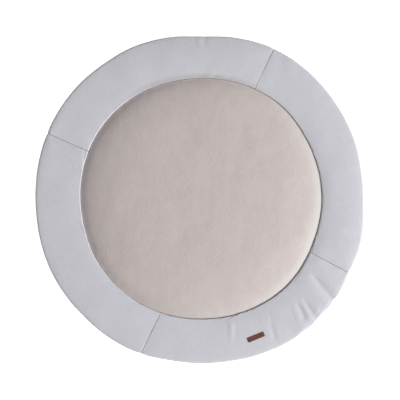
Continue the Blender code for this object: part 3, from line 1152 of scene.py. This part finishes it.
@dataclass
class Tag:
    """Small leather tag, sewn to the ring at its two ends, with a row of plain pressed dots."""

    length: float = 0.048
    width: float = 0.013
    thickness: float = 0.0012
    angle: float = -67.7
    radius: float = 0.4035
    cells: tuple[int, int] = (120, 36)
    corner: float = 0.0009
    rounding: float = 0.00035
    dots: int = 8
    dot_pitch: float = 0.0042
    dot_size: float = 0.0016
    dot_depth: float = 0.00045
    stitch_inset: float = 0.0026
    stitch_pitch: float = 0.0028
    stitch_length: float = 0.0021
    thread: float = 0.00042

    def axes(self) -> tuple[Array, Array, Array]:
        """Return the tag's middle and its unit steps along its length and its width."""
        outward = SectionFrame.ray(np.array([self.angle]))[0]
        return outward * self.radius, np.array([-outward[1], outward[0]]), outward

    def surface(self, ground: Callable[[Array], Array], u: Array, v: Array) -> Array:
        """Places on the ring's cloth under the tag's own places u and v, from its middle."""
        middle, along, outward = self.axes()
        xy = middle + u[..., None] * along + v[..., None] * outward
        return np.concatenate([xy, ground(xy)[..., None]], axis=-1)

    def build(self, ground: Callable[[Array], Array]) -> list[bpy.types.Object]:
        """Build the tag and its stitches.

        Args:
            ground: height of the ring's cloth at places seen from above.

        Returns:
            The tag and its stitches.
        """
        columns, rows = self.cells
        u, v = np.meshgrid(np.linspace(-1, 1, columns), np.linspace(-1, 1, rows), indexing="ij")
        u, v = np.sin(u * math.pi / 2 * 0.96) / math.sin(math.pi / 2 * 0.96), v
        u, v = u * self.length / 2, v * self.width / 2
        reach_u = self.length / 2 - self.corner
        reach_v = self.width / 2 - self.corner
        over_u, over_v = np.maximum(np.abs(u) - reach_u, 0), np.maximum(np.abs(v) - reach_v, 0)
        square = np.maximum(over_u, over_v)
        round_off = np.where(np.hypot(over_u, over_v) > 1e-9, square / np.maximum(np.hypot(over_u, over_v), 1e-9), 1)
        u = np.sign(u) * (np.minimum(np.abs(u), reach_u) + over_u * round_off)
        v = np.sign(v) * (np.minimum(np.abs(v), reach_v) + over_v * round_off)
        inside = np.minimum(self.length / 2 - np.abs(u), self.width / 2 - np.abs(v))
        inside = np.minimum(inside, self.corner - np.hypot(over_u, over_v) * round_off)
        inside = np.where((over_u > 0) & (over_v > 0), inside, np.minimum(
            self.length / 2 - np.abs(u), self.width / 2 - np.abs(v)))
        edge = np.clip(1 - inside / self.rounding, 0, 1)
        base = self.surface(ground, u, v)
        low, high = base.copy(), base.copy()
        low[..., 2] += GAP
        high[..., 2] += GAP + self.thickness - self.rounding * (1 - np.sqrt(np.maximum(1 - edge ** 2, 0)))
        high[..., 2] -= self.pressed(u, v)
        points = np.concatenate([low.reshape(-1, 3), high.reshape(-1, 3)])
        count = columns * rows
        faces = [face[::-1] for face in grid_faces(columns, rows, False, False)]
        faces += grid_faces(columns, rows, False, False, count)
        border = [i * rows for i in range(columns)]
        border += [(columns - 1) * rows + j for j in range(1, rows)]
        border += [i * rows + rows - 1 for i in range(columns - 2, -1, -1)]
        border += list(range(rows - 2, 0, -1))
        for a, b in zip(border, border[1:] + border[:1]):
            faces.append((a, b, b + count, a + count))
        uv = np.stack([u, v], axis=-1).reshape(-1, 2)
        tag = new_piece("leather_tag", points, faces, np.concatenate([uv, uv]))
        shade = tag.data.attributes.new("edge", "FLOAT", "POINT")
        dark = np.clip(1 - inside / 0.0012, 0, 1).ravel() * 0.8
        pressed = np.clip(self.pressed(u, v) / self.dot_depth, 0, 1).ravel() * 0.85
        shade.data.foreach_set("value", np.concatenate([np.full(count, 0.9), np.maximum(dark, pressed)]))
        tag.data.materials.append(LEATHER.make())
        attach(tag, "root")
        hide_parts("tag")
        stitches = self.build_stitches(ground)
        return [tag, stitches]

    def pressed(self, u: Array, v: Array) -> Array:
        """Depth of the pressed dots and of the dent that each row of stitches pulls."""
        depth = np.zeros_like(u)
        for k in range(self.dots):
            middle = (k - (self.dots - 1) / 2) * self.dot_pitch
            depth += self.dot_depth * np.exp(-((np.hypot(u - middle, v) / self.dot_size) ** 4))
        for side in (-1, 1):
            row = side * (self.length / 2 - self.stitch_inset)
            depth += 0.00022 * np.exp(-(((u - row) / 0.0008) ** 2)) * (np.abs(v) < self.width / 2 - 0.001)
        return depth

    def build_stitches(self, ground: Callable[[Array], Array]) -> bpy.types.Object:
        """Build one stitch and copy it along both ends of the tag."""
        _, along, outward = self.axes()
        bpy.ops.object.select_all(action="DESELECT")
        bpy.ops.mesh.primitive_cylinder_add(vertices=12, radius=self.thread, depth=self.stitch_length)
        first = bpy.context.object
        bpy.ops.object.mode_set(mode="EDIT")
        bpy.ops.mesh.select_all(action="SELECT")
        bpy.ops.mesh.bevel(offset=self.thread * 0.7, segments=3, affect="EDGES")
        bpy.ops.object.mode_set(mode="OBJECT")
        count = int((self.width - 0.002) / self.stitch_pitch)
        copies = []
        for side in (-1, 1):
            for k in range(count):
                u = np.array([side * (self.length / 2 - self.stitch_inset)])
                v = np.array([(k - (count - 1) / 2) * self.stitch_pitch])
                spot = self.surface(ground, u, v)[0]
                copy = first.copy()
                copy.data = first.data.copy()
                bpy.context.scene.collection.objects.link(copy)
                copy.rotation_euler = (math.pi / 2, 0, math.atan2(outward[1], outward[0]) - math.pi / 2)
                copy.location = (spot[0], spot[1], spot[2] + GAP + self.thickness - 0.0001)
                copies.append(copy)
        bpy.data.objects.remove(first, do_unlink=True)
        bpy.ops.object.select_all(action="DESELECT")
        for copy in copies:
            copy.select_set(True)
        bpy.context.view_layer.objects.active = copies[0]
        bpy.ops.object.join()
        bpy.ops.object.transform_apply(location=True, rotation=True, scale=True)
        stitches = bpy.context.object
        stitches.name = "tag_stitches"
        bpy.ops.object.shade_smooth()
        stitches.data.materials.append(THREAD.make())
        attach(stitches, "root")
        return stitches


@dataclass(frozen=True)
class Softbox:
    """Square soft light that points at the mat's middle."""

    name: str
    azimuth: float
    elevation: float
    distance: float
    size: float
    power: float
    colour: Colour = (1.0, 1.0, 1.0)

    def build(self) -> None:
        """Add the light."""
        light = bpy.data.lights.new(self.name, "AREA")
        light.shape, light.size = "SQUARE", self.size
        light.energy, light.color = self.power, self.colour
        lamp = bpy.data.objects.new(self.name, light)
        flat = math.cos(math.radians(self.elevation))
        way = Vector((flat * math.cos(math.radians(self.azimuth)), flat * math.sin(math.radians(self.azimuth)),
                      math.sin(math.radians(self.elevation))))
        lamp.location = way * self.distance
        lamp.rotation_euler = way.to_track_quat("Z", "Y").to_euler()
        bpy.context.scene.collection.objects.link(lamp)


@dataclass
class Studio:
    """Pale floor, soft light and the camera straight above."""

    view_width: float = 1.092
    view_middle: tuple[float, float] = (0.0008, -0.0004)
    view_height: float = 0.018
    lens: float = 85.0
    sensor: float = 36.0
    floor_size: float = 8.0
    floor_drop: float = 0.0002
    floor: FloorFinish = FloorFinish("studio_floor", (0.9, 0.9, 0.9), 0.85)
    sky: float = 0.27
    lights: tuple[Softbox, ...] = (
        Softbox("key", -22.0, 32.0, 10.0, 4.4, 1480.0),
    )

    def build(self) -> None:
        """Add everything that isn't part of the mat."""
        scene = bpy.context.scene
        scene.view_settings.view_transform = "Standard"
        world = bpy.data.worlds.new("studio")
        world.use_nodes = True
        world.node_tree.nodes["Background"].inputs["Color"].default_value = (1, 1, 1, 1)
        world.node_tree.nodes["Background"].inputs["Strength"].default_value = self.sky
        scene.world = world
        for light in self.lights:
            light.build()
        bpy.ops.object.select_all(action="DESELECT")
        bpy.ops.mesh.primitive_circle_add(vertices=96, radius=self.floor_size / 2, fill_type="NGON")
        floor = bpy.context.object
        floor.name = "floor"
        floor.data.transform(bpy.context.object.matrix_world)
        for point in floor.data.vertices:
            point.co.z = -self.floor_drop
        floor.data.materials.append(self.floor.make())
        camera = bpy.data.cameras.new("overhead")
        camera.lens, camera.sensor_width = self.lens, self.sensor
        eye = bpy.data.objects.new("overhead", camera)
        distance = self.view_width * self.lens / self.sensor
        eye.location = (*self.view_middle, self.view_height + distance)
        scene.collection.objects.link(eye)
        scene.camera = eye


RING = (
    RingPanel("ring_right_cover", "ring_panel_right", (334.6, 333.9), (63.5, 63.9), 1.1),
    RingPanel("ring_top_cover", "ring_panel_top", (63.5, 63.9), (156.5, 156.4), 2.2),
    RingPanel("ring_left_cover", "ring_panel_left", (156.5, 156.4), (250.9, 249.0), 3.3),
    RingPanel("ring_bottom_cover", "ring_panel_bottom", (250.9, 249.0), (334.6, 333.9), 4.4),
)


def ground_height(piece: bpy.types.Object) -> Callable[[Array], Array]:
    """Give a function that reads the height of a piece's top at places seen from above."""
    mesh = piece.data
    tree = BVHTree.FromPolygons([point.co for point in mesh.vertices], [face.vertices[:] for face in mesh.polygons])

    def read(xy: Array) -> Array:
        """Height at each place."""
        spots = [tree.ray_cast(Vector((x, y, 1.0)), Vector((0, 0, -1)))[0] for x, y in xy.reshape(-1, 2)]
        return np.array([spot.z if spot else 0.0 for spot in spots]).reshape(xy.shape[:-1])
    return read


def main() -> None:
    """Build the studio, then the mat's pieces in order."""
    logging.basicConfig(level=logging.INFO, format="%(name)s %(message)s")
    Studio().build()
    covers = {panel.name: panel.build() for panel in RING}
    CentrePad().build()
    BackCloth().build()
    for piece in Tag().build(ground_height(covers["ring_bottom_cover"])):
        LOG.info("%s: %d faces", piece.name, len(piece.data.polygons))


if __name__ == "__main__":
    main()
    bpy.context.view_layer.update()
